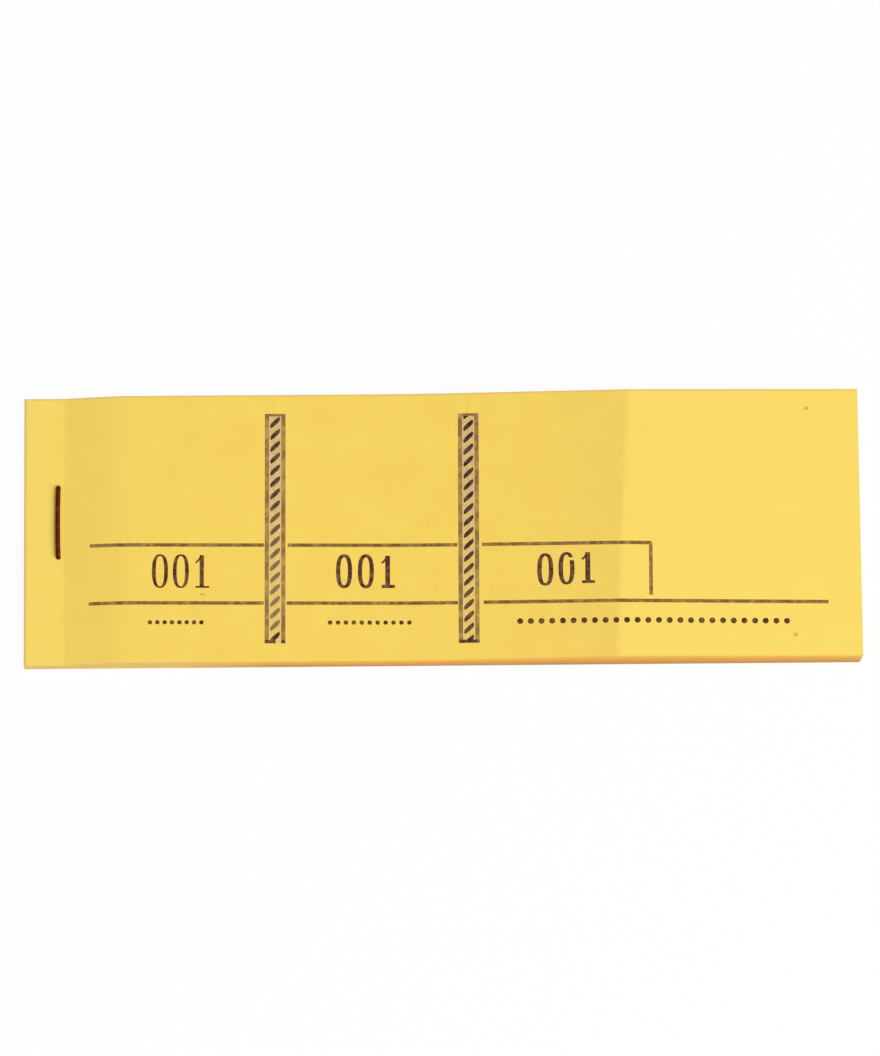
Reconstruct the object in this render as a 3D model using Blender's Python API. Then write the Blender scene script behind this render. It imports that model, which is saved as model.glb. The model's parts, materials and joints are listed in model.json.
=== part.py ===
"""A numbered ticket book: a block of three-part paper tickets held by one wire staple.

Metres, +Z up. +X runs from the stapled edge to the free end and +Y away from the reader. The origin
lies under the middle of the block, on the surface that the book rests on.

Every ticket is one sheet of paper that folds beside the staple, so it is made as two pieces: the
margin that the staple clamps, and the leaf that turns up at the fold. Two perforated lines divide the
sheet into stub, control and customer's part. On the top ticket these three are separate pieces.
"""

import math

import bmesh
import bpy

MM = 0.001

# Tickets
TICKET_COUNT = 25
TICKET_DEPTH = 50 * MM
PAPER = 0.085 * MM
PRESSED_AIR = 0.007 * MM

# Lengths along one ticket, from the stapled edge to the free end
MARGIN_LENGTH = 7.1 * MM
STUB_LENGTH = 37.8 * MM
CONTROL_LENGTH = 34.9 * MM
CUSTOMER_LENGTH = 70.2 * MM

# The free end leans in towards the table: each lower ticket is cut a little shorter
FREE_END_STEP = 0.02 * MM

# Folds beside the staple: each lower ticket folds a little further out than the one above it
FOLD_GAP = 0.3 * MM
FOLD_STEP = 0.1 * MM

# The loose lie of the top ticket above its height at the staple, which lower ones share out: it springs
# up beside the fold, sags across the control, and stands up again to a crease across the customer's part
RAMP_LENGTH = 9.9 * MM
RAMP_RISE = 1.4 * MM
SAG_PAST_STUB = 25.1 * MM
SAG_RISE = 1.05 * MM
CREASE_PAST_CONTROL = 27.7 * MM
CREASE_RISE = 2.9 * MM
END_RISE = 1.9 * MM

# Perforations
SLIT_LENGTH = 4.6 * MM
SLIT_WIDTH = 0.3 * MM
TIE_LENGTH = 1.65 * MM
TEAR_LINE = 0.04 * MM

# Staple
WIRE = 0.85 * MM
CROWN_LENGTH = 13.9 * MM
CROWN_SHIFT = 1.7 * MM
STAPLE_TO_FOLD = 0.95 * MM
BEND_RADIUS = 0.55 * MM
TIP_GAP = 4.4 * MM
TIP_LIFT = 0.02 * MM
CROWN_CLEARANCE = 0.02 * MM
LEG_CLEARANCE = 0.03 * MM
GROOVE_CLEARANCE = 0.15 * MM

# Fineness of the round shapes, and how far a cutter runs past what it cuts
LEG_HOLE_SIDES = 8
BEND_STEPS = 4
WIRE_BEVEL_RESOLUTION = 2
CUT_PAST = 1 * MM

# Colours as sRGB values out of 255
PAPER_YELLOW = (248, 217, 99)
WIRE_BROWN = (92, 46, 34)
PAPER_ROUGHNESS = 0.85
WIRE_ROUGHNESS = 0.42

# Places that follow from the sizes above, measured from the stapled edge and from the table
PITCH = PAPER + PRESSED_AIR
STUB_END = MARGIN_LENGTH + STUB_LENGTH
CONTROL_END = STUB_END + CONTROL_LENGTH
BOOK_LENGTH = CONTROL_END + CUSTOMER_LENGTH
PRESSED_TOP = (TICKET_COUNT - 1) * PITCH + PAPER
STAPLE_X = MARGIN_LENGTH - STAPLE_TO_FOLD
LEG_Y = (CROWN_LENGTH - WIRE) / 2
CROWN_Z = PRESSED_TOP + CROWN_CLEARANCE + WIRE / 2
CLINCH_Z = TIP_LIFT + WIRE / 2
BENDS = (
    (MARGIN_LENGTH, 0.0),
    (MARGIN_LENGTH + RAMP_LENGTH, RAMP_RISE),
    (STUB_END + SAG_PAST_STUB, SAG_RISE),
    (CONTROL_END + CREASE_PAST_CONTROL, CREASE_RISE),
    (BOOK_LENGTH, END_RISE),
)


def clear_scene():
    for old in list(bpy.data.objects):
        bpy.data.objects.remove(old, do_unlink=True)


def linear(value):
    """One sRGB value out of 255 as the linear number that a shader takes."""
    share = value / 255
    return share / 12.92 if share <= 0.04045 else ((share + 0.055) / 1.055) ** 2.4


def principled(name, colour, roughness, metallic):
    material = bpy.data.materials.new(name)
    material.use_nodes = True
    shader = material.node_tree.nodes["Principled BSDF"]
    shader.inputs["Base Color"].default_value = (*map(linear, colour), 1.0)
    shader.inputs["Roughness"].default_value = roughness
    shader.inputs["Metallic"].default_value = metallic
    material.diffuse_color = (*map(linear, colour), 1.0)
    return material


def add_object(name, data, material, origin, parent):
    """Puts a mesh or curve in the scene with its origin at a point of the book's frame."""
    made = bpy.data.objects.new(name, data)
    bpy.context.scene.collection.objects.link(made)
    made.data.materials.append(material)
    made.parent = parent
    held_at = parent["at"] if parent else (0.0, 0.0, 0.0)
    made.location = [a - b for a, b in zip(origin, held_at)]
    made["at"] = origin
    return made


def knife(name, data):
    """A hidden cutter."""
    cutter = bpy.data.objects.new(name, data)
    bpy.context.scene.collection.objects.link(cutter)
    cutter.hide_render = True
    cutter.display_type = "WIRE"
    return cutter


def cut(piece, cutter):
    modifier = piece.modifiers.new("cut by " + cutter.name, "BOOLEAN")
    modifier.operation = "DIFFERENCE"
    modifier.solver = "EXACT"
    modifier.object = cutter


def prism(bm, outline, along):
    """Adds a closed prism to bm: a flat outline, drawn out by the vector along."""
    face = bm.faces.new([bm.verts.new(point) for point in outline])
    drawn = bmesh.ops.extrude_face_region(bm, geom=[face])["geom"]
    moved = [part for part in drawn if isinstance(part, bmesh.types.BMVert)]
    bmesh.ops.translate(bm, verts=moved, vec=along)
    bmesh.ops.recalc_face_normals(bm, faces=bm.faces)


def finished(bm, name):
    mesh = bpy.data.meshes.new(name)
    bm.to_mesh(mesh)
    bm.free()
    return mesh


def fold_x(ticket):
    """Where a ticket folds; ticket 1 is the top one."""
    return MARGIN_LENGTH + (ticket - 1) * FOLD_STEP


def free_end(ticket):
    """Where a ticket ends."""
    return BOOK_LENGTH - (ticket - 1) * FREE_END_STEP


def rise(x):
    """How far the top ticket stands above its height at the staple, at x from the stapled edge."""
    if x <= BENDS[0][0]:
        return 0.0
    for (x0, rise0), (x1, rise1) in zip(BENDS, BENDS[1:]):
        if x <= x1:
            break
    return rise0 + (rise1 - rise0) * (x - x0) / (x1 - x0)


def top_z(ticket, x):
    """Height of a ticket's printed face: the lowest ticket lies flat, the top one takes all the rise."""
    below = TICKET_COUNT - ticket
    return below * PITCH + PAPER + rise(x) * below / (TICKET_COUNT - 1)


def sheet_mesh(name, ticket, start, end, origin):
    """A strip of a ticket from start to end, bent as it lies, as wide as the book is deep."""
    stations = [start, *(x for x, _ in BENDS if start < x < end), end]
    top = [(x, top_z(ticket, x)) for x in stations]
    bottom = [(x, z - PAPER) for x, z in reversed(top)]
    outline = [
        (x - BOOK_LENGTH / 2 - origin[0], -TICKET_DEPTH / 2 - origin[1], z - origin[2])
        for x, z in top + bottom
    ]
    bm = bmesh.new()
    prism(bm, outline, (0.0, TICKET_DEPTH, 0.0))
    return finished(bm, name)


def add_sheet(name, ticket, start, end, hinge_x, parent, paper, cutters):
    """A piece of a ticket whose origin is on the line at hinge_x in its printed face."""
    origin = (hinge_x - BOOK_LENGTH / 2, 0.0, top_z(ticket, hinge_x))
    piece = add_object(name, sheet_mesh(name, ticket, start, end, origin), paper, origin, parent)
    for cutter in cutters:
        cut(piece, cutter)
    return piece


def perforation_knife():
    """Rows of slits through the whole block, with ties of paper left between them."""
    step = SLIT_LENGTH + TIE_LENGTH
    count = int((TICKET_DEPTH + TIE_LENGTH) / step)
    first = -(count - 1) * step / 2
    height = PRESSED_TOP + CREASE_RISE + 2 * CUT_PAST
    bm = bmesh.new()
    for line in (STUB_END, CONTROL_END):
        left = line - BOOK_LENGTH / 2 - SLIT_WIDTH / 2
        for n in range(count):
            front = first + n * step - SLIT_LENGTH / 2
            outline = [
                (left, front, -CUT_PAST),
                (left + SLIT_WIDTH, front, -CUT_PAST),
                (left + SLIT_WIDTH, front + SLIT_LENGTH, -CUT_PAST),
                (left, front + SLIT_LENGTH, -CUT_PAST),
            ]
            prism(bm, outline, (0.0, 0.0, height))
    return knife("perforation_knife", finished(bm, "perforation_knife"))


def leg_hole_knife():
    """Two upright holes through the margins, a running clearance wider than the wire."""
    radius = (WIRE / 2 + LEG_CLEARANCE) / math.cos(math.pi / LEG_HOLE_SIDES)
    bm = bmesh.new()
    for side in (-1, 1):
        outline = []
        for n in range(LEG_HOLE_SIDES):
            turn = 2 * math.pi * (n + 0.5) / LEG_HOLE_SIDES
            x = STAPLE_X - BOOK_LENGTH / 2 + radius * math.cos(turn)
            y = CROWN_SHIFT + side * LEG_Y + radius * math.sin(turn)
            outline.append((x, y, -CUT_PAST))
        prism(bm, outline, (0.0, 0.0, PRESSED_TOP + 2 * CUT_PAST))
    return knife("leg_hole_knife", finished(bm, "leg_hole_knife"))


def air_above(z):
    """The middle of the first layer of air between pressed leaves at or over a height."""
    leaf = math.ceil((z - PAPER - PRESSED_AIR / 2) / PITCH)
    return leaf * PITCH + PAPER + PRESSED_AIR / 2


def clinch_groove_top():
    return air_above(CLINCH_Z + BEND_RADIUS)


def clinch_groove_knife():
    """The room under the block that each bent-in leg end has pressed for itself: deeper at the bend."""
    width = WIRE + 2 * GROOVE_CLEARANCE
    left = STAPLE_X - BOOK_LENGTH / 2 - width / 2
    outer = LEG_Y + WIRE / 2 + GROOVE_CLEARANCE
    bend = LEG_Y - BEND_RADIUS - GROOVE_CLEARANCE
    inner = TIP_GAP / 2 - GROOVE_CLEARANCE
    deep = clinch_groove_top()
    shallow = air_above(CLINCH_Z + WIRE / 2)
    section = [(outer, -CUT_PAST), (outer, deep), (bend, deep)]
    section += [(bend, shallow), (inner, shallow), (inner, -CUT_PAST)]
    bm = bmesh.new()
    for side in (-1, 1):
        outline = [(left, CROWN_SHIFT + side * y, z) for y, z in section]
        prism(bm, outline, (width, 0.0, 0.0))
    return knife("clinch_groove_knife", finished(bm, "clinch_groove_knife"))


def staple_path():
    """(y, z) points along the wire's middle, from one clinched tip to the other, with round bends."""
    tip = TIP_GAP / 2
    corners = [(tip, CLINCH_Z), (LEG_Y, CLINCH_Z), (LEG_Y, CROWN_Z)]
    corners += [(-y, z) for y, z in reversed(corners)]
    path = [corners[0]]
    for before, corner, after in zip(corners, corners[1:], corners[2:]):
        arrive = math.atan2(corner[1] - before[1], corner[0] - before[0])
        leave = math.atan2(after[1] - corner[1], after[0] - corner[0])
        for step in range(BEND_STEPS + 1):
            turn = math.pi / 2 * step / BEND_STEPS
            along = BEND_RADIUS * (math.sin(turn) - 1)
            across = BEND_RADIUS * (1 - math.cos(turn))
            y = corner[0] + along * math.cos(arrive) + across * math.cos(leave)
            z = corner[1] + along * math.sin(arrive) + across * math.sin(leave)
            path.append((y, z))
    path.append(corners[-1])
    return path


def add_staple(parent, wire):
    curve = bpy.data.curves.new("staple", "CURVE")
    curve.dimensions = "3D"
    curve.bevel_depth = WIRE / 2
    curve.bevel_resolution = WIRE_BEVEL_RESOLUTION
    curve.use_fill_caps = True
    path = staple_path()
    spline = curve.splines.new("POLY")
    spline.points.add(len(path) - 1)
    for point, (y, z) in zip(spline.points, path):
        point.co = (0.0, y, z, 1.0)
    origin = (STAPLE_X - BOOK_LENGTH / 2, CROWN_SHIFT, 0.0)
    return add_object("staple", curve, wire, origin, parent)


def add_margin(ticket, parent, paper, leg_holes, groove):
    """The strip of a ticket that the staple clamps. The lowest ones give way to the clinched ends."""
    end = fold_x(ticket) - FOLD_GAP
    cutters = [leg_holes]
    if (TICKET_COUNT - ticket) * PITCH < clinch_groove_top():
        cutters.append(groove)
    add_sheet(f"ticket_{ticket:02d}_margin", ticket, 0.0, end, end, parent, paper, cutters)


def add_top_ticket(carrier, paper, slits):
    """Stub, control and customer's part, each hinged to the one before it at a perforation."""
    fold = fold_x(1)
    half = TEAR_LINE / 2
    parts = (
        ("ticket_01_stub", fold, STUB_END - half, fold),
        ("ticket_01_control", STUB_END + half, CONTROL_END - half, STUB_END),
        ("ticket_01_customer", CONTROL_END + half, free_end(1), CONTROL_END),
    )
    for name, start, end, hinge in parts:
        carrier = add_sheet(name, 1, start, end, hinge, carrier, paper, [slits])


def build():
    clear_scene()
    margin_paper = principled("stapled margin paper", PAPER_YELLOW, PAPER_ROUGHNESS, 0.0)
    leaf_paper = principled("turning leaf paper", PAPER_YELLOW, PAPER_ROUGHNESS, 0.0)
    top_paper = principled("top ticket paper", PAPER_YELLOW, PAPER_ROUGHNESS, 0.0)
    wire = principled("staple wire", WIRE_BROWN, WIRE_ROUGHNESS, 1.0)
    book = bpy.data.objects.new("ticket_book", None)
    bpy.context.scene.collection.objects.link(book)
    book["at"] = (0.0, 0.0, 0.0)

    slits = perforation_knife()
    leg_holes = leg_hole_knife()
    groove = clinch_groove_knife()
    last = TICKET_COUNT
    cutters = [slits, leg_holes, groove]
    add_sheet(f"ticket_{last:02d}", last, 0.0, free_end(last), fold_x(last), book, leaf_paper, cutters)
    for ticket in range(last - 1, 0, -1):
        add_margin(ticket, book, margin_paper, leg_holes, groove)
    for ticket in range(last - 1, 1, -1):
        name = f"ticket_{ticket:02d}"
        fold = fold_x(ticket)
        leaf = add_sheet(name, ticket, fold, free_end(ticket), fold, book, leaf_paper, [slits])
    add_top_ticket(leaf, top_paper, slits)
    add_staple(book, wire)


build()
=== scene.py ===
import json
import math

import bmesh
import bpy
from mathutils import Matrix, Vector
from mathutils.geometry import delaunay_2d_cdt


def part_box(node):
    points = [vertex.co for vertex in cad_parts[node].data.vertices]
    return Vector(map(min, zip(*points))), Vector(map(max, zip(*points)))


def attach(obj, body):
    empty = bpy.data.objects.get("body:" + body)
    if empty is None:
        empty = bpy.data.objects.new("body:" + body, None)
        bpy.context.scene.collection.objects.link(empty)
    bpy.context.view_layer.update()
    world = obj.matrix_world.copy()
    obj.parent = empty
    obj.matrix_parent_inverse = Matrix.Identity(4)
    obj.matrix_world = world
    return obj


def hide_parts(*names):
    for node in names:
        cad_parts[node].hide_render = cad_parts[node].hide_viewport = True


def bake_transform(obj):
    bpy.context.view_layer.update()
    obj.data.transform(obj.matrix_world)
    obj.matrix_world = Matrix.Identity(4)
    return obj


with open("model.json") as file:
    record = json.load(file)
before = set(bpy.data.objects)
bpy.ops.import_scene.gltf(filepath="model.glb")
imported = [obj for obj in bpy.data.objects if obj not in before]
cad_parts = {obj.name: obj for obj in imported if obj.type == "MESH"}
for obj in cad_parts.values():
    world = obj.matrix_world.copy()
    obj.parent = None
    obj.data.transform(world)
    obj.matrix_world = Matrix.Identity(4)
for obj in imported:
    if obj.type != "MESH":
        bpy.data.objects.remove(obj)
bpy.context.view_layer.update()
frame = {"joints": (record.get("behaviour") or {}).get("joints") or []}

# Lowest ticket
# One sheet of thin uncoated yellow paper, printed in brown and cut with the rest of the block in one
# stroke of the guillotine. It lies flat, and the staple's bent-in ends are pressed into it from below.
# Lengths are in millimetres: x along the ticket from the stapled edge, y from its middle line to the back.
MM = 0.001
TICKETS = 25
low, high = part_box("ticket_25")
LEFT = low.x / MM
DEPTH = (high.y - low.y) / MM
PAPER = (high.z - low.z) / MM
PITCH = (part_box("ticket_24_margin")[0].z - low.z) / MM
joint_places = {joint["name"]: Vector(joint["pos_m"]) / MM for joint in frame["joints"]}
HINGE = {name: place.x - LEFT for name, place in joint_places.items()}
TEAR_LINES = (HINGE["control_fold"], HINGE["customer_fold"])
SECOND_TEAR_LIFT = joint_places["customer_fold"].z - (TICKETS - 1) * PITCH - PAPER

# How the top ticket lies, bend by bend: place, height over the pressed margin, half length of the bend and
# skew of its line. It springs up beside the staple, sags across the control part, and stands up past its
# second tear line to a crease.
FOLD = (7.3, 0.0, 0.2, 0.0)
RAMP_TOP = (17.0, 1.4, 3.5, 0.0)
SAG = (70.0, 1.05, 9.5, 0.0)
SECOND_TEAR = (TEAR_LINES[1], SECOND_TEAR_LIFT, 0.0, 0.0)
CREASE = (107.35, 2.9, 0.7, 0.05)
FREE_END = (150.0, 1.9, 0.0, 0.0)
LIE = (FOLD, RAMP_TOP, SAG, SECOND_TEAR, CREASE, FREE_END)
LINES_PER_BEND = 8


def rise(x, y):
    """Height of the top ticket over its pressed margin: straight between bends and rounded at each."""
    bends = [(place + skew * y, height, reach) for place, height, reach, skew in LIE]
    slopes = [0.0]
    slopes += [(b[1] - a[1]) / (b[0] - a[0]) for a, b in zip(bends, bends[1:])]
    lifted = 0.0
    for (place, height, reach), before, after in zip(bends, slopes, slopes[1:]):
        past = x - place
        if past > 0:
            lifted = height + after * past
        if abs(past) < reach:
            lifted += (after - before) * (reach - abs(past)) ** 2 / (4 * reach)
    return lifted


def lie_height(ticket, x, y):
    """Height of a ticket's underside: it takes its share of the lie by the number of tickets below it."""
    below = TICKETS - ticket
    return below * PITCH + rise(x, y) * below / (TICKETS - 1)


def bend_lines():
    """(place, skew) of the lines across a sheet along which it bends."""
    for place, _, reach, skew in LIE[:-1]:
        steps = LINES_PER_BEND if reach else 1
        for step in range(steps + 1):
            yield place + reach * (2 * step / steps - 1), skew


# Print: shapes are (finish, outline, hole), painted one over the other.
# The printed form sits a little out of square on the paper.
FORM_DROP = 0.0087
FORM_LEAN = 0.0055
DOT_SIDES = 10


def on_form(x, down):
    """A place on the printed form, measured from the stapled edge and down from the back edge."""
    return Vector((x - FORM_LEAN * (down - DEPTH / 2), DEPTH / 2 - down - FORM_DROP * x))


def bar(finish, x0, x1, down0, down1):
    """A straight printed bar."""
    corners = ((x0, down0), (x1, down0), (x1, down1), (x0, down1))
    return finish, [on_form(x, down) for x, down in corners], None


def round_dot(finish, x, down, radius):
    """A printed dot."""
    turns = [2 * math.pi * n / DOT_SIDES for n in range(DOT_SIDES)]
    edge = [on_form(x + radius * math.cos(t), down + radius * math.sin(t)) for t in turns]
    return finish, edge, None


# Rules of the form, by their two ends, and a row of dots at the foot of each part, by its first and last dot,
# the radius of a dot and the step between dots
RULE = 0.66
UPPER_RULE = 27.85
LOWER_RULE = 38.68
UPPER_RULES = ((11.85, 43.1), (47.3, 77.75), (82.15, 112.5))
LOWER_RULES = ((11.7, 43.05), (47.1, 77.8), (82.4, 144.1))
BOX_SIDE = 112.35
BOX_SIDE_END = 37.6
DOT_LINE = 42.3
DOT_ROWS = ((22.7, 31.9, 0.42, 1.3), (54.9, 69.1, 0.42, 1.4), (88.9, 136.6, 0.56, 1.9))


def rule_shapes():
    """The ruled lines and the rows of dots."""
    for x0, x1 in UPPER_RULES:
        yield bar("line_ink", x0, x1, UPPER_RULE - RULE / 2, UPPER_RULE + RULE / 2)
    for x0, x1 in LOWER_RULES:
        yield bar("line_ink", x0, x1, LOWER_RULE - RULE / 2, LOWER_RULE + RULE / 2)
    yield bar("line_ink", BOX_SIDE - RULE / 2, BOX_SIDE + RULE / 2, UPPER_RULE, BOX_SIDE_END)
    for x0, x1, radius, step in DOT_ROWS:
        count = int((x1 - x0) / step) + 1
        for n in range(count):
            yield round_dot("solid_ink", x0 + (x1 - x0) * n / (count - 1), DOT_LINE, radius)


# Rope columns over the tear lines: a pale tint, strands laid slantwise over it, and a line down each side.
# Each is given by its middle, its first strand, its ink and how far past its middle its inky foot reaches.
ROPE_TOP = 3.15
ROPE_END = 46.2
BORDER_APART = 2.96
BORDER = 0.76
ROPE_CAP = 0.5
ROPE_FOOT = 0.62
STRAND_STEP = 2.238
STRAND_ACROSS = 0.74
STRAND_CLIMB = 1.08
STRAND_THICK = 0.8
STRAND_THIN = 0.08
STRAND_POINTS = 9
ROPES = (
    (TEAR_LINES[0] + 0.16, 4.79, "worn_rope_ink", 0.1),
    (TEAR_LINES[1] - 0.03, 3.2, "rope_ink", 1.8),
)


def strand(ink, middle, down):
    """One strand of the rope: a slanted stroke, thick in the middle, that runs out along both borders."""
    right, left = [], []
    for n in range(STRAND_POINTS):
        t = 2 * n / (STRAND_POINTS - 1) - 1
        x = middle + STRAND_ACROSS * math.sin(t * math.pi / 2)
        y = down - STRAND_CLIMB * t
        half = (STRAND_THIN + (STRAND_THICK - STRAND_THIN) * (1 - abs(t) ** 3)) / 2
        along = Vector((STRAND_ACROSS * math.pi / 2 * math.cos(t * math.pi / 2), -STRAND_CLIMB))
        along.normalize()
        right.append((x - along.y * half, y + along.x * half))
        left.append((x + along.y * half, y - along.x * half))
    edge = [on_form(x, min(max(y, ROPE_TOP), ROPE_END)) for x, y in right + left[::-1]]
    return ink, edge, None


def rope_shapes():
    """Both ropes, tint first and inky feet last."""
    half = BORDER_APART / 2
    outer = half + BORDER / 2
    for middle, first, ink, foot in ROPES:
        yield bar("rope_ground", middle - half, middle + half, ROPE_TOP, ROPE_END)
        last = int((ROPE_END - first) / STRAND_STEP)
        for n in range(last):
            yield strand(ink, middle, first + n * STRAND_STEP)
        for border in (middle - half, middle + half):
            yield bar("border_ink", border - BORDER / 2, border + BORDER / 2, ROPE_TOP, ROPE_END)
        yield bar("border_ink", middle - outer, middle + outer, ROPE_TOP, ROPE_TOP + ROPE_CAP)
        yield strand("solid_ink", middle, first + last * STRAND_STEP)
        for x0, x1 in ((-outer, min(foot, outer)), (half - BORDER / 2, outer)):
            yield bar("solid_ink", middle + x0, middle + x1, ROPE_END - ROPE_FOOT, ROPE_END)


# Numbers, stamped one in each part: first digit, step between digits, line of their middles, climb from
# digit to digit, height, widths of an upright stroke and of a hairline
NUMBERS = (
    (24.45, 3.74, 32.75, 0.0, 6.35, 0.7, 0.34),
    (57.42, 3.9, 32.72, 0.0, 6.4, 0.78, 0.62),
    (93.45, 3.8, 32.72, 0.17, 6.1, 0.82, 0.52),
)
DIGIT_WIDE = 2.9
STEM = 1.1
FLAG = 0.5
ARC_STEPS = 12
LOOP_POWER = 2.5


def arc(x, y, rx, ry, first, last):
    """Points of an oval's arc in a digit's own square; the angle runs clockwise from the right."""
    turns = [math.radians(first + (last - first) * n / ARC_STEPS) for n in range(ARC_STEPS + 1)]
    return [(x + rx * math.cos(t), y + ry * math.sin(t)) for t in turns]


# Strokes of each digit in a square from 0 to 1, x to the right and y down. A pen stroke is broad where it
# runs up and down, a stem is broader, a flag half as broad and a hairline fine; an oval is (x, y, rx, ry).
STROKES = {
    "0": [("oval", (0.5, 0.5, 0.5, 0.5))],
    "1": [
        ("stem", [(0.5, 0.0), (0.5, 1.0)]),
        ("flag", [(0.5, 0.01), (0.26, 0.15), (0.0, 0.24)]),
        ("hairline", [(0.0, 0.99), (1.12, 0.99)]),
    ],
    "2": [
        ("pen", arc(0.5, 0.28, 0.48, 0.28, 180, 375) + [(0.04, 0.99)]),
        ("pen", [(0.0, 0.98), (1.0, 0.98)]),
    ],
    "3": [
        ("pen", arc(0.48, 0.25, 0.44, 0.25, 200, 440)),
        ("pen", arc(0.48, 0.74, 0.5, 0.26, -80, 160)),
    ],
    "4": [
        ("hairline", [(0.66, 0.0), (0.0, 0.7), (1.0, 0.7)]),
        ("pen", [(0.7, 0.0), (0.7, 1.0)]),
    ],
    "5": [
        ("pen", [(0.12, 0.02), (0.92, 0.02)]),
        ("hairline", [(0.12, 0.0), (0.12, 0.46)]),
        ("pen", arc(0.46, 0.69, 0.5, 0.31, -135, 150)),
    ],
    "6": [
        ("oval", (0.5, 0.7, 0.48, 0.3)),
        ("pen", arc(0.62, 0.7, 0.6, 0.7, 180, 285)),
    ],
    "7": [
        ("pen", [(0.0, 0.02), (1.0, 0.02)]),
        ("pen", [(0.95, 0.02), (0.3, 1.0)]),
    ],
    "8": [
        ("oval", (0.5, 0.25, 0.42, 0.25)),
        ("oval", (0.5, 0.74, 0.48, 0.26)),
    ],
    "9": [
        ("oval", (0.5, 0.3, 0.48, 0.3)),
        ("pen", arc(0.38, 0.3, 0.6, 0.7, 0, 105)),
    ],
}


def oval(x, y, rx, ry):
    """A closed round with flattened sides, on the form."""
    edge = []
    for n in range(2 * ARC_STEPS):
        turn = math.pi * n / ARC_STEPS
        across, along = math.cos(turn), math.sin(turn)
        dx = math.copysign(abs(across) ** (2 / LOOP_POWER), across)
        dy = math.copysign(abs(along) ** (2 / LOOP_POWER), along)
        edge.append(on_form(x + rx * dx, y + ry * dy))
    return edge


def pen_stroke(path, upright, hairline):
    """Outline of a stroke, broad where it runs up and down and fine where it runs across."""
    right, left = [], []
    for index, (x, y) in enumerate(path):
        x0, y0 = path[max(index - 1, 0)]
        x1, y1 = path[min(index + 1, len(path) - 1)]
        along = Vector((x1 - x0, y1 - y0)).normalized()
        half = (hairline + (upright - hairline) * abs(along.y)) / 2
        right.append(on_form(x - along.y * half, y + along.x * half))
        left.append(on_form(x + along.y * half, y - along.x * half))
    return right + left[::-1]


def digit_shapes(digit, middle, down, height, upright, hairline):
    """The strokes of one digit round a middle on the form."""
    wide, tall = DIGIT_WIDE - upright, height - hairline
    left, top = middle - wide / 2, down - tall / 2
    widths = {
        "pen": (upright, hairline),
        "stem": (upright * STEM, hairline),
        "flag": (upright * FLAG, upright * FLAG),
        "hairline": (hairline, hairline),
    }
    for kind, stroke in STROKES[digit]:
        if kind == "oval":
            x, y, rx, ry = stroke
            centre = (left + x * wide, top + y * tall)
            outer = oval(*centre, rx * wide + upright / 2, ry * tall + hairline / 2)
            inner = oval(*centre, rx * wide - upright / 2, ry * tall - hairline / 2)
            yield "solid_ink", outer, inner
        else:
            path = [(left + x * wide, top + y * tall) for x, y in stroke]
            yield "solid_ink", pen_stroke(path, *widths[kind]), None


def number_shapes(ticket):
    """A ticket's number, once in each part."""
    for first, step, line, climb, height, upright, hairline in NUMBERS:
        for n, digit in enumerate(f"{ticket:03d}"):
            yield from digit_shapes(digit, first + n * step, line - n * climb, height, upright, hairline)


# Cuts through the sheet: fine perforations, holes for the staple's legs, grooves for its bent-in ends
SLIT_WIDTH = 0.02
SLIT_LENGTH = 1.15
SLIT_STEP = 1.8
STAPLE_LOW, STAPLE_HIGH = (Vector(corner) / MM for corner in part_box("staple"))
WIRE = STAPLE_HIGH.x - STAPLE_LOW.x
STAPLE_X = (STAPLE_LOW.x + STAPLE_HIGH.x) / 2 - LEFT
STAPLE_Y = (STAPLE_LOW.y + STAPLE_HIGH.y) / 2
LEG_APART = STAPLE_HIGH.y - STAPLE_LOW.y - WIRE
LEG_CLEARANCE = 0.03
LEG_HOLE = WIRE / 2 + LEG_CLEARANCE
LEG_HOLE_SIDES = 16
TIP_GAP = 4.4
GROOVE_CLEARANCE = 0.12


def box_outline(x0, x1, y0, y1):
    """The corners of a rectangle on the sheet."""
    return [Vector(corner) for corner in ((x0, y0), (x1, y0), (x1, y1), (x0, y1))]


def cut_shapes(ticket):
    """What is cut out of a ticket."""
    count = int(DEPTH / SLIT_STEP)
    for line in TEAR_LINES:
        left, right = line - SLIT_WIDTH / 2, line + SLIT_WIDTH / 2
        for n in range(count):
            y = (n - (count - 1) / 2) * SLIT_STEP
            yield "cut", box_outline(left, right, y - SLIT_LENGTH / 2, y + SLIT_LENGTH / 2), None
    for side in (-1, 1):
        leg = Vector((STAPLE_X, STAPLE_Y + side * LEG_APART / 2))
        turns = [2 * math.pi * n / LEG_HOLE_SIDES for n in range(LEG_HOLE_SIDES)]
        yield "cut", [leg + LEG_HOLE * Vector((math.cos(t), math.sin(t))) for t in turns], None
        if (TICKETS - ticket) * PITCH < STAPLE_LOW.z + WIRE:
            half = WIRE / 2 + GROOVE_CLEARANCE
            ends = (TIP_GAP / 2 - GROOVE_CLEARANCE, LEG_APART / 2 + half)
            y0, y1 = sorted(STAPLE_Y + side * end for end in ends)
            yield "cut", box_outline(STAPLE_X - half, STAPLE_X + half, y0, y1), None


# Finishes of a sheet. The patterns follow the sheet as it lay when it was printed, so they stay put on a
# leaf that is turned up.
SHEET_PLACE = "sheet_place"


def linear(colour):
    """sRGB values out of 255 as the linear numbers that a shader takes."""
    shares = [value / 255 for value in colour]
    return [s / 12.92 if s <= 0.04045 else ((s + 0.055) / 1.055) ** 2.4 for s in shares] + [1.0]


def new_material(name):
    """A new material with its nodes and links."""
    material = bpy.data.materials.new(name)
    material.use_nodes = True
    return material, material.node_tree.nodes, material.node_tree.links


def noise_on(nodes, links, place, scale, detail, roughness):
    """An uneven pattern over the surface."""
    noise = nodes.new("ShaderNodeTexNoise")
    noise.inputs["Scale"].default_value = scale
    noise.inputs["Detail"].default_value = detail
    noise.inputs["Roughness"].default_value = roughness
    links.new(place, noise.inputs["Vector"])
    return noise.outputs["Fac"]


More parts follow.
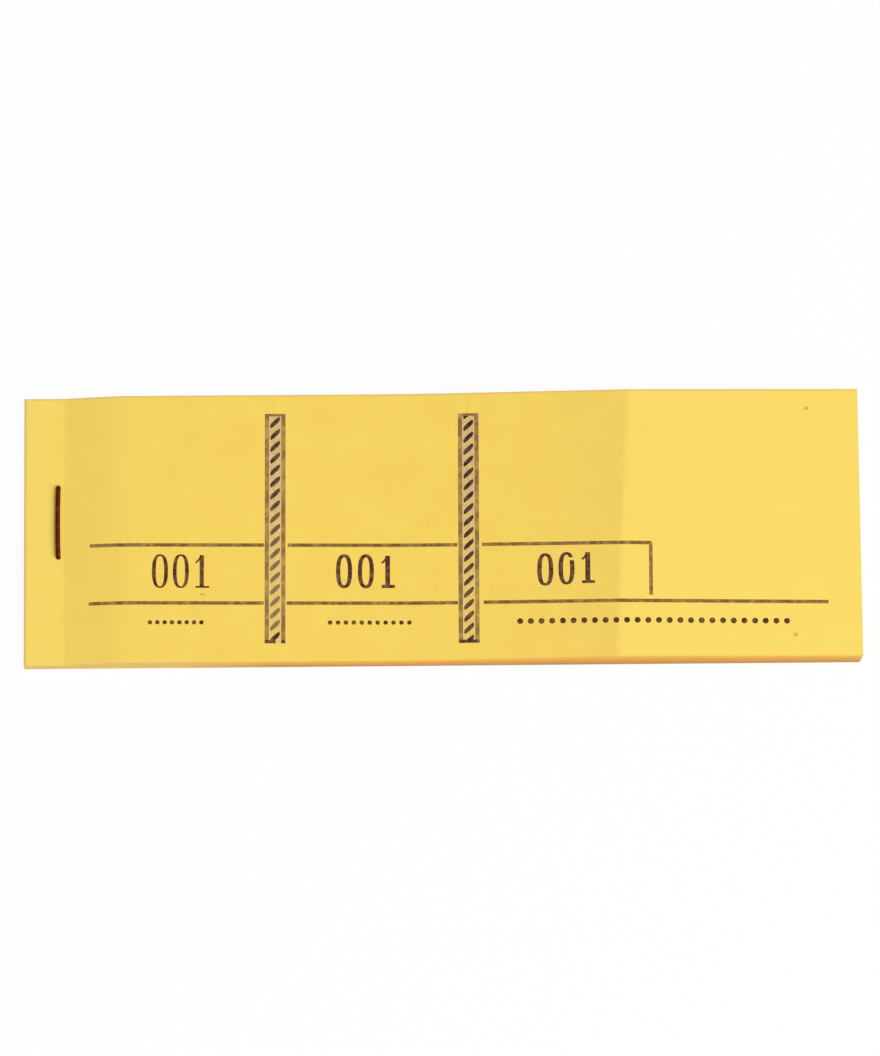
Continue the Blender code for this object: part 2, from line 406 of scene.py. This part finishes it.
def spread(nodes, links, value, low_end, high_end, to_low=0.0, to_high=1.0):
    """Stretches a value's range between two ends to two new ends."""
    stretched = nodes.new("ShaderNodeMapRange")
    stretched.inputs["From Min"].default_value = low_end
    stretched.inputs["From Max"].default_value = high_end
    stretched.inputs["To Min"].default_value = to_low
    stretched.inputs["To Max"].default_value = to_high
    links.new(value, stretched.inputs["Value"])
    return stretched.outputs["Result"]


def calculated(nodes, links, operation, first, second):
    """What a calculation makes of two values; each is a number or another node's value."""
    node = nodes.new("ShaderNodeMath")
    node.operation = operation
    for socket, value in zip(node.inputs, (first, second)):
        if isinstance(value, bpy.types.NodeSocket):
            links.new(value, socket)
        else:
            socket.default_value = value
    return node.outputs[0]


def mixed(nodes, links, share, first, second):
    """A colour between two; each is four numbers or another node's colour."""
    mix = nodes.new("ShaderNodeMix")
    mix.data_type = "RGBA"
    for socket, value in ((mix.inputs[0], share), (mix.inputs[6], first), (mix.inputs[7], second)):
        if isinstance(value, bpy.types.NodeSocket):
            links.new(value, socket)
        else:
            socket.default_value = value
    return mix.outputs[2]


# Colours of the paper, and its uneven patterns as scale, detail and roughness, with the middle range that is
# stretched to the full contrast
YELLOW = linear((250, 215, 95))
DEEP_YELLOW = linear((246, 208, 90))
PALE_YELLOW = linear((251, 221, 107))
CLOUDS = (0.16, 5.0, 0.62)
CLOUD_RANGE = (0.3, 0.7)
FIBRES = (2.6, 5.0, 0.65)
FIBRE_RANGE = (0.35, 0.65)
FIBRE_SHARE = 0.3
TOOTH = (4.5, 4.0, 0.6)
TOOTH_DEPTH = 0.012
TOOTH_STRENGTH = 0.35
PAPER_SHEEN = 0.25
FACE_ROUGHNESS = 0.85
EDGE_ROUGHNESS = 0.9


def paper_colour(nodes, links, place):
    """Yellow paper: cloudy in the sheet, with fine fibres."""
    clouds = spread(nodes, links, noise_on(nodes, links, place, *CLOUDS), *CLOUD_RANGE)
    fibres = spread(nodes, links, noise_on(nodes, links, place, *FIBRES), *FIBRE_RANGE, 0.0, FIBRE_SHARE)
    cloudy = mixed(nodes, links, clouds, YELLOW, DEEP_YELLOW)
    return mixed(nodes, links, fibres, cloudy, PALE_YELLOW)


def paper_surface(nodes, links, place, roughness):
    """Matt fibre surface on the material's shader."""
    shader = nodes["Principled BSDF"]
    shader.inputs["Roughness"].default_value = roughness
    shader.inputs["Specular IOR Level"].default_value = PAPER_SHEEN
    bump = nodes.new("ShaderNodeBump")
    bump.inputs["Strength"].default_value = TOOTH_STRENGTH
    bump.inputs["Distance"].default_value = TOOTH_DEPTH * MM
    links.new(noise_on(nodes, links, place, *TOOTH), bump.inputs["Height"])
    links.new(bump.outputs["Normal"], shader.inputs["Normal"])
    return shader


# Tones of the guillotined edges from the second ticket down, how far along the block is pressed, and how far
# the tone shows on a sheet's face
SECOND_TICKET = 2
EDGE_UPPER = linear((254, 205, 92))
# Painted shade: the lower tone darkens the edges towards the bottom of the block
EDGE_LOWER_PAINTED_SHADE = linear((206, 148, 92))
EDGE_PRESSED = linear((244, 213, 124))
PRESSED_SHARE = 0.95
PRESSED_END = (26.0, 46.0)
BROWNED = 0.9
BROWNED_WIDE = 0.45


def place_split(nodes, links, place):
    """A place on the sheet as its x, its y and its ticket's number."""
    split = nodes.new("ShaderNodeSeparateXYZ")
    links.new(place, split.inputs["Vector"])
    return split.outputs["X"], split.outputs["Y"], split.outputs["Z"]


def edge_tone(nodes, links, x, ticket):
    """Tone of the cut edges: painted shade deepens it towards the bottom of the block; greyer where the
    staple presses it.
    """
    painted_shade_down = spread(nodes, links, ticket, SECOND_TICKET, TICKETS)
    loose = mixed(nodes, links, painted_shade_down, EDGE_UPPER, EDGE_LOWER_PAINTED_SHADE)
    pressed = spread(nodes, links, x, *PRESSED_END, PRESSED_SHARE, 0.0)
    return mixed(nodes, links, pressed, loose, EDGE_PRESSED)


def browned(nodes, links, place, colour):
    """Paper that has taken the tone of its cut edge along the front and the back, with the edge's painted
    shade towards the bottom of the block.
    """
    x, y, ticket = place_split(nodes, links, place)
    from_middle = calculated(nodes, links, "ABSOLUTE", y, 0.0)
    outermost = DEPTH / 2
    share = spread(nodes, links, from_middle, outermost - BROWNED_WIDE, outermost, 0.0, BROWNED)
    return mixed(nodes, links, share, colour, edge_tone(nodes, links, x, ticket))


def place_on_sheet(nodes):
    """Where a point lay on the flat sheet."""
    attribute = nodes.new("ShaderNodeAttribute")
    attribute.attribute_name = SHEET_PLACE
    return attribute.outputs["Vector"]


# Patches of thinner ink, as detail and roughness with their range, and where along the depth the print thins
# out towards the foot of the form
INK_PATCHES = (3.0, 0.6)
INK_RANGE = (0.35, 0.6)
FOOT_FADE = (-12.0, 8.0)


def sheet_material(name, ink=None, cover=None, patch=None, foot=1.0, fade=None):
    """Bare paper, or paper with ink on it that covers between two shares in patches of a scale, and by a
    lesser share at the foot of the form; fade gives the paper's tone from place to place, on the top ticket
    with painted light and shade."""
    material, nodes, links = new_material(name)
    place = place_on_sheet(nodes)
    colour = paper_colour(nodes, links, place)
    if fade:
        colour = fade(nodes, links, place, colour)
    if ink:
        patches = noise_on(nodes, links, place, patch, *INK_PATCHES)
        covered = spread(nodes, links, patches, *INK_RANGE, *cover)
        _, y, _ = place_split(nodes, links, place)
        thinned = spread(nodes, links, y, *FOOT_FADE, foot, 1.0)
        covered = calculated(nodes, links, "MULTIPLY", covered, thinned)
        colour = mixed(nodes, links, covered, colour, linear(ink))
    shader = paper_surface(nodes, links, place, FACE_ROUGHNESS)
    links.new(colour, shader.inputs["Base Color"])
    return material


# Streaks along the cut edges: long in the sheet and short from sheet to sheet
STREAK_STRETCH = (0.03, 0.03, 0.32)
STREAKS = (1.0, 3.0, 0.5)
STREAK_RANGE = (0.35, 0.65)
STREAK_TONE = linear((210, 148, 76))
STREAK_SHARE = 0.42


def cut_edge_material():
    """The guillotined edge: bare fibres in a deeper tone of the paper, streaked from sheet to sheet, with
    painted shade towards the bottom of the block.
    """
    material, nodes, links = new_material("cut_edge")
    place = place_on_sheet(nodes)
    x, _, ticket = place_split(nodes, links, place)
    stretched = nodes.new("ShaderNodeVectorMath")
    stretched.operation = "MULTIPLY"
    stretched.inputs[1].default_value = STREAK_STRETCH
    links.new(place, stretched.inputs[0])
    grain = noise_on(nodes, links, stretched.outputs[0], *STREAKS)
    streaks = spread(nodes, links, grain, *STREAK_RANGE, 0.0, STREAK_SHARE)
    colour = mixed(nodes, links, streaks, edge_tone(nodes, links, x, ticket), STREAK_TONE)
    shader = paper_surface(nodes, links, place, EDGE_ROUGHNESS)
    links.new(colour, shader.inputs["Base Color"])
    return material


ROPE_TINT = (194, 161, 135)
TINT_SHARE = 0.55


def tinted(nodes, links, place, colour):
    """Paper under the pale tint that is printed before the strands of a rope."""
    return mixed(nodes, links, TINT_SHARE, colour, linear(ROPE_TINT))


# Finishes of paper, cut edge and inks. An ink has its colour, the two shares between which it covers, the
# scale of its patches, and the share of it that is left at the foot of the form.
SHEET_FINISHES = {
    "paper": sheet_material("yellow_paper", fade=browned),
    "cut_edge": cut_edge_material(),
    "line_ink": sheet_material("line_ink", (98, 52, 40), (0.68, 0.9), 0.8),
    "solid_ink": sheet_material("solid_ink", (76, 34, 36), (0.86, 1.0), 1.2),
    "border_ink": sheet_material("border_ink", (108, 63, 62), (0.55, 0.85), 0.5),
    "rope_ink": sheet_material("rope_ink", (68, 27, 31), (0.88, 1.0), 0.8, 0.95, tinted),
    "worn_rope_ink": sheet_material("worn_rope_ink", (74, 30, 33), (0.88, 1.0), 0.8, 0.68, tinted),
    "rope_ground": sheet_material("rope_ground", ROPE_TINT, (0.38, 0.72), 1.2, 0.5),
    "stain": sheet_material("stain", (140, 112, 56), (0.3, 0.55), 1.2),
}

# Points that count as one, edges that stay sharp, and how far up a face of the sheet has to look
SAME_POINT = 0.0001
SHARP_EDGE = math.radians(40)
FACE_UP = 0.5


def finished(bm, name, materials):
    """Makes a piece of the scene from a shape, smooth but for its sharp edges."""
    mesh = bpy.data.meshes.new(name)
    bm.to_mesh(mesh)
    bm.free()
    mesh.shade_smooth()
    mesh.set_sharp_from_angle(angle=SHARP_EDGE)
    for material in materials:
        mesh.materials.append(material)
    piece = bpy.data.objects.new(name, mesh)
    bpy.context.scene.collection.objects.link(piece)
    return piece


def sheet(name, ticket, start, end, shapes, lines, finishes=SHEET_FINISHES, undercut=(0.0, 0.0)):
    """One piece of a ticket between two places: its face is cut up along its print, bent and given paper's
    thickness, with the printed side up. The underside may be cut back at either end."""
    points, loops, layers = [], [], []

    def add_loop(outline):
        """Adds an outline, turned anticlockwise, and gives its number."""
        turning = sum(a.cross(b) for a, b in zip(outline, outline[1:] + outline[:1]))
        loops.append(list(range(len(points), len(points) + len(outline))))
        points.extend(outline if turning > 0 else outline[::-1])
        return len(loops) - 1

    whole = add_loop(box_outline(start, end, -DEPTH / 2, DEPTH / 2))
    for finish, outline, hole in shapes:
        if min(p.x for p in outline) < end and max(p.x for p in outline) > start:
            layers.append((finish, add_loop(outline), add_loop(hole) if hole else None))
    corners, _, triangles, _, _, loops_of = delaunay_2d_cdt(points, [], loops, 0, SAME_POINT, True)

    bm = bmesh.new()
    verts = [bm.verts.new((x, y, 0.0)) for x, y in corners]
    names = list(finishes)
    for triangle, inside in zip(triangles, loops_of):
        shown = [finish for finish, outer, hole in layers if outer in inside and hole not in inside]
        finish = shown[-1] if shown else "paper"
        if whole in inside and finish != "cut":
            face = bm.faces.new([verts[corner] for corner in triangle])
            face.material_index = names.index(finish)
    loose = [vert for vert in bm.verts if not vert.link_faces]
    bmesh.ops.delete(bm, geom=loose, context="VERTS")
    for place, skew in lines:
        if start + undercut[0] < place < end - undercut[1]:
            everything = bm.verts[:] + bm.edges[:] + bm.faces[:]
            bmesh.ops.bisect_plane(
                bm, geom=everything, dist=SAME_POINT, plane_co=(place, 0, 0), plane_no=(1, -skew, 0)
            )

    underside = bm.faces[:]
    raised = bmesh.ops.extrude_face_region(bm, geom=underside)["geom"]
    upper = [part for part in raised if isinstance(part, bmesh.types.BMVert)]
    bmesh.ops.translate(bm, verts=upper, vec=(0, 0, PAPER))
    bmesh.ops.recalc_face_normals(bm, faces=bm.faces)
    bm.normal_update()
    for face in underside:
        face.material_index = names.index("paper")
    for face in bm.faces:
        if abs(face.normal.z) < FACE_UP:
            face.material_index = names.index("cut_edge")

    place_of = bm.verts.layers.float_vector.new(SHEET_PLACE)
    for vert in bm.verts:
        x, y, z = vert.co
        vert[place_of] = (x, y, z + ticket)
        height = z + lie_height(ticket, x, y)
        if z == 0 and abs(x - start) < SAME_POINT:
            x += undercut[0]
        if z == 0 and abs(x - end) < SAME_POINT:
            x -= undercut[1]
        vert.co = ((x + LEFT) * MM, y * MM, height * MM)
    return finished(bm, name, finishes.values())


def print_of(ticket):
    """All that is printed on a ticket."""
    return [*rope_shapes(), *rule_shapes(), *number_shapes(ticket)]


lowest_length = (high.x - low.x) / MM
lowest_shapes = print_of(TICKETS) + list(cut_shapes(TICKETS))
lowest = sheet("sheet_25", TICKETS, 0.0, lowest_length, lowest_shapes, [])
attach(lowest, "block")
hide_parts("ticket_25")

# Tickets between the lowest and the top one
# The same sheets, each with its own number. The margin stays under the staple and the rest turns up beside
# it, so the sheet bends over a short stretch from its fold; each lower ticket folds a little further out.
FOLD_STRETCH = 1.6
FOLD_LINES = 8

for ticket in range(TICKETS - 1, SECOND_TICKET - 1, -1):
    node = f"ticket_{ticket:02d}"
    fold = HINGE[f"leaf_{ticket:02d}_turn"]
    fold_lines = [(fold + FOLD_STRETCH * n / FOLD_LINES, 0.0) for n in range(FOLD_LINES + 1)]
    free_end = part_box(node)[1].x / MM - LEFT
    shapes = print_of(ticket) + list(cut_shapes(ticket))
    leaf = sheet(f"sheet_{ticket:02d}", ticket, 0.0, free_end, shapes, fold_lines + list(bend_lines()))
    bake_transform(leaf)
    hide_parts(node, node + "_margin")

# Top ticket
# The sheet that shows, folded sharply beside the staple and loosened along both perforations, so that its
# stub, control and customer's part turn one after the other. A few stray flecks of ink lie on it, its left
# and back edges are darker, and its paper carries painted light on the margin, the ramp and past the crease,
# and painted shade before the crease.
TOP_TICKET = 1

# Flecks as place on the form and radius, smudge and worn type as the two ends along and down the form
FLECKS = ((140.6, 2.4, 0.36), (138.1, 44.85, 0.4))
SMUDGE = (31.6, 32.6, 36.92, 37.22)
WORN_TYPE = (97.75, 98.9, 30.5, 31.05)

# Tones of its paper, the shares that they take and where they run out: painted light on the margin, the ramp
# and past the crease, painted shade before the crease, and a darker tone along the left and back edges
PAINTED_LIGHT_TONE = linear((251, 222, 107))
PAINTED_LIGHT_SHARE = 0.5
PAINTED_CREASE_STEP = 1.0
PAINTED_LIGHT_ON_MARGIN = (6.0, 7.6)
PAINTED_LIGHT_ON_RAMP = 0.32
PAINTED_RAMP_LIGHT_FADE = (12.0, 26.0)
PAINTED_SHADE_TONE = linear((226, 188, 100))
PAINTED_SHADE_SHARE = 0.2
PAINTED_SHADE_LENGTH = 22.0
EDGE_DARK_TONE = linear((190, 168, 122))
EDGE_DARK_SHARE = 0.8
EDGE_DARK_WIDE = 0.6
EDGE_DARK_PAST_BACK = 0.2

# Its parts: piece, body, the two ends along the ticket, and how far the underside is cut back at either end
SEAM_PAST_FOLD = 0.03
SEAM = HINGE["top_ticket_turn"] + SEAM_PAST_FOLD
SEAM_UNDERCUT = 0.12
TOP_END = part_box("ticket_01_customer")[1].x / MM - LEFT
TOP_PARTS = (
    ("margin", "block", 0.0, SEAM, (0.0, SEAM_UNDERCUT)),
    ("stub", "stub_01", SEAM, TEAR_LINES[0], (SEAM_UNDERCUT, 0.0)),
    ("control", "control_01", TEAR_LINES[0], TEAR_LINES[1], (0.0, 0.0)),
    ("customer", "customer_01", TEAR_LINES[1], TOP_END, (0.0, 0.0)),
)


def painted_light_and_edges(nodes, links, place, colour):
    """The top ticket's paper: painted light on the margin, on the ramp and past the crease, painted shade
    before the crease, browned along the front and darker along the left and the back."""
    x, y, _ = place_split(nodes, links, place)
    crease, _, _, skew = CREASE
    crease_zone = (crease - PAINTED_CREASE_STEP / 2, crease + PAINTED_CREASE_STEP / 2)
    along = calculated(nodes, links, "SUBTRACT", x, calculated(nodes, links, "MULTIPLY", y, skew))

    # Painted shade: darker for a stretch before the crease
    shade_before_crease = spread(nodes, links, along, crease - PAINTED_SHADE_LENGTH, crease, 0.0, PAINTED_SHADE_SHARE)
    shade_up_to_crease = spread(nodes, links, along, *crease_zone, PAINTED_SHADE_SHARE, 0.0)
    painted_shade = calculated(nodes, links, "MINIMUM", shade_before_crease, shade_up_to_crease)
    colour = mixed(nodes, links, painted_shade, colour, PAINTED_SHADE_TONE)

    # Painted light: paler past the crease, on the margin up to the fold and on the ramp beside the staple
    light_past_crease = spread(nodes, links, along, *crease_zone, 0.0, PAINTED_LIGHT_SHARE)
    light_on_margin = spread(nodes, links, x, *PAINTED_LIGHT_ON_MARGIN, PAINTED_LIGHT_SHARE, 0.0)
    light_on_ramp = spread(nodes, links, x, *PAINTED_RAMP_LIGHT_FADE, PAINTED_LIGHT_ON_RAMP, 0.0)
    light_near_staple = calculated(nodes, links, "MAXIMUM", light_on_margin, light_on_ramp)
    painted_light = calculated(nodes, links, "MAXIMUM", light_past_crease, light_near_staple)
    colour = mixed(nodes, links, painted_light, colour, PAINTED_LIGHT_TONE)

    colour = browned(nodes, links, place, colour)
    # Darker along the left and back edges
    from_back = calculated(nodes, links, "SUBTRACT", DEPTH / 2 + EDGE_DARK_PAST_BACK, y)
    from_edge = calculated(nodes, links, "MINIMUM", x, from_back)
    darker_edges = spread(nodes, links, from_edge, 0.0, EDGE_DARK_WIDE, EDGE_DARK_SHARE, 0.0)
    return mixed(nodes, links, darker_edges, colour, EDGE_DARK_TONE)


# The top ticket's paper, with its painted light and shade
top_finishes = dict(SHEET_FINISHES, paper=sheet_material("top_ticket_paper", fade=painted_light_and_edges))
top_shapes = print_of(TOP_TICKET)
top_shapes += [round_dot("stain", *fleck) for fleck in FLECKS]
top_shapes.append(bar("stain", *SMUDGE))
top_shapes.append(bar("paper", *WORN_TYPE))
top_shapes += cut_shapes(TOP_TICKET)
top_lines = list(bend_lines())
for part, body, start, end, undercut in TOP_PARTS:
    piece = sheet(f"top_{part}", TOP_TICKET, start, end, top_shapes, top_lines, top_finishes, undercut)
    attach(piece, body)
    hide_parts(f"ticket_01_{part}")

# Staple
# One round steel wire with a dark copper-brown coat, driven down through the whole block and bent in under
# it. Its crown lies on the top ticket, pulled a little out of straight by the clinch.
BEND_RADIUS = 0.55
BEND_STEPS = 8
WIRE_SIDES = 16
CROWN_CUTS = 10
CROWN_BOW = 0.1
TIP_CHAMFER = 0.12
TIP_SHARE = 0.6
CROWN_Z = STAPLE_HIGH.z - WIRE / 2
CLINCH_Z = STAPLE_LOW.z + WIRE / 2


def drawn_out(bm, edges, vector):
    """Draws the open end of the wire out along a vector and gives its new end."""
    drawn = bmesh.ops.extrude_edge_only(bm, edges=edges)["geom"]
    moved = [part for part in drawn if isinstance(part, bmesh.types.BMVert)]
    bmesh.ops.translate(bm, verts=moved, vec=vector)
    return [part for part in drawn if isinstance(part, bmesh.types.BMEdge)]


def bent_down(bm, edges, centre):
    """Bends the open end of the wire through a right angle about a centre."""
    turned = bmesh.ops.spin(
        bm, geom=edges, cent=centre, axis=(1, 0, 0), angle=-math.pi / 2, steps=BEND_STEPS, use_merge=False
    )["geom_last"]
    return [part for part in turned if isinstance(part, bmesh.types.BMEdge)]


bm = bmesh.new()
ring = bmesh.ops.create_circle(bm, segments=WIRE_SIDES, radius=WIRE / 2, cap_ends=False)["verts"]
bmesh.ops.rotate(bm, verts=ring, cent=(0, 0, 0), matrix=Matrix.Rotation(math.pi / 2, 3, "X"))
bmesh.ops.translate(bm, verts=ring, vec=(0, 0, CROWN_Z))
end = bm.edges[:]
crown_half = LEG_APART / 2 - BEND_RADIUS
for _ in range(CROWN_CUTS):
    end = drawn_out(bm, end, (0, crown_half / CROWN_CUTS, 0))
end = bent_down(bm, end, (0, crown_half, CROWN_Z - BEND_RADIUS))
end = drawn_out(bm, end, (0, 0, CLINCH_Z - CROWN_Z + 2 * BEND_RADIUS))
end = bent_down(bm, end, (0, crown_half, CLINCH_Z + BEND_RADIUS))
end = drawn_out(bm, end, (0, TIP_GAP / 2 + TIP_CHAMFER - crown_half, 0))
end = drawn_out(bm, end, (0, -TIP_CHAMFER, 0))
tip = list({vert for edge in end for vert in edge.verts})
tip_middle = sum((vert.co for vert in tip), Vector()) / len(tip)
bmesh.ops.scale(bm, verts=tip, vec=(TIP_SHARE, 1, TIP_SHARE), space=Matrix.Translation(-tip_middle))
bmesh.ops.contextual_create(bm, geom=end)
bmesh.ops.mirror(bm, geom=bm.verts[:] + bm.edges[:] + bm.faces[:], axis="Y", merge_dist=SAME_POINT)
bmesh.ops.recalc_face_normals(bm, faces=bm.faces)
for vert in bm.verts:
    x, y, z = vert.co
    bow = CROWN_BOW * max(0.0, 1 - (2 * y / LEG_APART) ** 2) if z > CROWN_Z - WIRE else 0.0
    vert.co = ((x + STAPLE_X - bow + LEFT) * MM, (y + STAPLE_Y) * MM, z * MM)

# Its coat, worn thin in places and drawn with a fine grain
COAT = linear((112, 42, 25))
COAT_WORN = linear((146, 76, 44))
COAT_WEAR = (900.0, 4.0, 0.6)
WEAR_RANGE = (0.5, 0.8)
COAT_GRAIN = (2500.0, 3.0, 0.5)
GRAIN_RANGE = (0.3, 0.7)
COAT_ROUGHNESS = (0.38, 0.55)
coat, nodes, links = new_material("copper_brown_coat")
coordinate = nodes.new("ShaderNodeTexCoord").outputs["Object"]
shader = nodes["Principled BSDF"]
shader.inputs["Metallic"].default_value = 1.0
worn = spread(nodes, links, noise_on(nodes, links, coordinate, *COAT_WEAR), *WEAR_RANGE)
links.new(mixed(nodes, links, worn, COAT, COAT_WORN), shader.inputs["Base Color"])
grain = noise_on(nodes, links, coordinate, *COAT_GRAIN)
links.new(spread(nodes, links, grain, *GRAIN_RANGE, *COAT_ROUGHNESS), shader.inputs["Roughness"])
staple = finished(bm, "wire_staple", [coat])
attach(staple, "block")
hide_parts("staple")

# Table, light and camera
# A plain white table that keeps a faint shadow, one broad soft lamp from the right and the front, and the
# camera well above the book, as the photograph was taken.
TABLE_SIZE = 4000.0
TABLE_DROP = 0.02
TABLE_WHITE = (0.9, 0.9, 0.9, 1.0)
SHADOW_SHARE = 0.06
white, nodes, links = new_material("white_table")
nodes.remove(nodes["Principled BSDF"])
plain = nodes.new("ShaderNodeBsdfDiffuse")
plain.inputs["Color"].default_value = TABLE_WHITE
glow = nodes.new("ShaderNodeEmission")
glow.inputs["Strength"].default_value = 1.0
seen = nodes.new("ShaderNodeLightPath")
straight = calculated(nodes, links, "MAXIMUM", seen.outputs["Is Camera Ray"], seen.outputs["Is Glossy Ray"])
straight = calculated(nodes, links, "MAXIMUM", straight, seen.outputs["Is Transmission Ray"])
share = calculated(nodes, links, "MULTIPLY", straight, 1 - SHADOW_SHARE)
surface = nodes.new("ShaderNodeMixShader")
links.new(share, surface.inputs[0])
links.new(plain.outputs[0], surface.inputs[1])
links.new(glow.outputs[0], surface.inputs[2])
links.new(surface.outputs[0], nodes["Material Output"].inputs["Surface"])

bm = bmesh.new()
bmesh.ops.create_grid(bm, x_segments=1, y_segments=1, size=TABLE_SIZE / 2 * MM)
bmesh.ops.translate(bm, verts=bm.verts, vec=(0, 0, -TABLE_DROP * MM))
table = finished(bm, "table", [white])

AMBIENT = 0.3
AMBIENT_COLOUR = (1.0, 1.0, 1.0, 1.0)
world = bpy.data.worlds.new("studio")
bpy.context.scene.world = world
world.use_nodes = True
background = world.node_tree.nodes["Background"]
background.inputs["Color"].default_value = AMBIENT_COLOUR
background.inputs["Strength"].default_value = AMBIENT

# The lamp's power is what a small lamp would need to light a white table to its level
LAMP_TOWARDS = Vector((0.68, -0.45, 1.0)).normalized()
LAMP_DISTANCE = 2500.0
LAMP_SIZE = 2400.0
LAMP_LEVEL = 0.895
lamp_data = bpy.data.lights.new("soft_lamp", "AREA")
lamp_data.size = LAMP_SIZE * MM
lamp_data.energy = LAMP_LEVEL * math.pi ** 2 * (LAMP_DISTANCE * MM) ** 2 / LAMP_TOWARDS.z
lamp = bpy.data.objects.new("soft_lamp", lamp_data)
bpy.context.scene.collection.objects.link(lamp)
lamp.location = LAMP_TOWARDS * LAMP_DISTANCE * MM
lamp.rotation_euler = LAMP_TOWARDS.to_track_quat("Z", "Y").to_euler()

# The camera's direction, roll and scale, as measured in the photograph, whose height is in pixels
IMAGE_HIGH = 1056
AZIMUTH = math.radians(-0.8036)
ELEVATION = math.radians(73.006)
ROLL = math.radians(0.2798)
CAMERA_DISTANCE = 1775.5
TARGET_HEIGHT = 2.5
TARGET_SHIFT = (-0.36, 0.007)
PIXELS_PER_MM = 5.5724
SENSOR = 36.0
level = math.cos(ELEVATION)
back = Vector((math.sin(AZIMUTH) * level, -math.cos(AZIMUTH) * level, math.sin(ELEVATION)))
right = Vector((math.cos(AZIMUTH), math.sin(AZIMUTH), 0.0))
up = back.cross(right)
across = right * math.cos(ROLL) + up * math.sin(ROLL)
upward = up * math.cos(ROLL) - right * math.sin(ROLL)
camera_data = bpy.data.cameras.new("camera")
camera_data.sensor_width = SENSOR
camera_data.lens = SENSOR * CAMERA_DISTANCE * PIXELS_PER_MM / IMAGE_HIGH
camera = bpy.data.objects.new("camera", camera_data)
bpy.context.scene.collection.objects.link(camera)
target = Vector((0, 0, TARGET_HEIGHT)) + right * TARGET_SHIFT[0] + up * TARGET_SHIFT[1]
turned = Matrix((across, upward, back)).transposed().to_4x4()
camera.matrix_world = Matrix.Translation((target + back * CAMERA_DISTANCE) * MM) @ turned
bpy.context.scene.camera = camera
bpy.context.scene.view_settings.view_transform = "Standard"
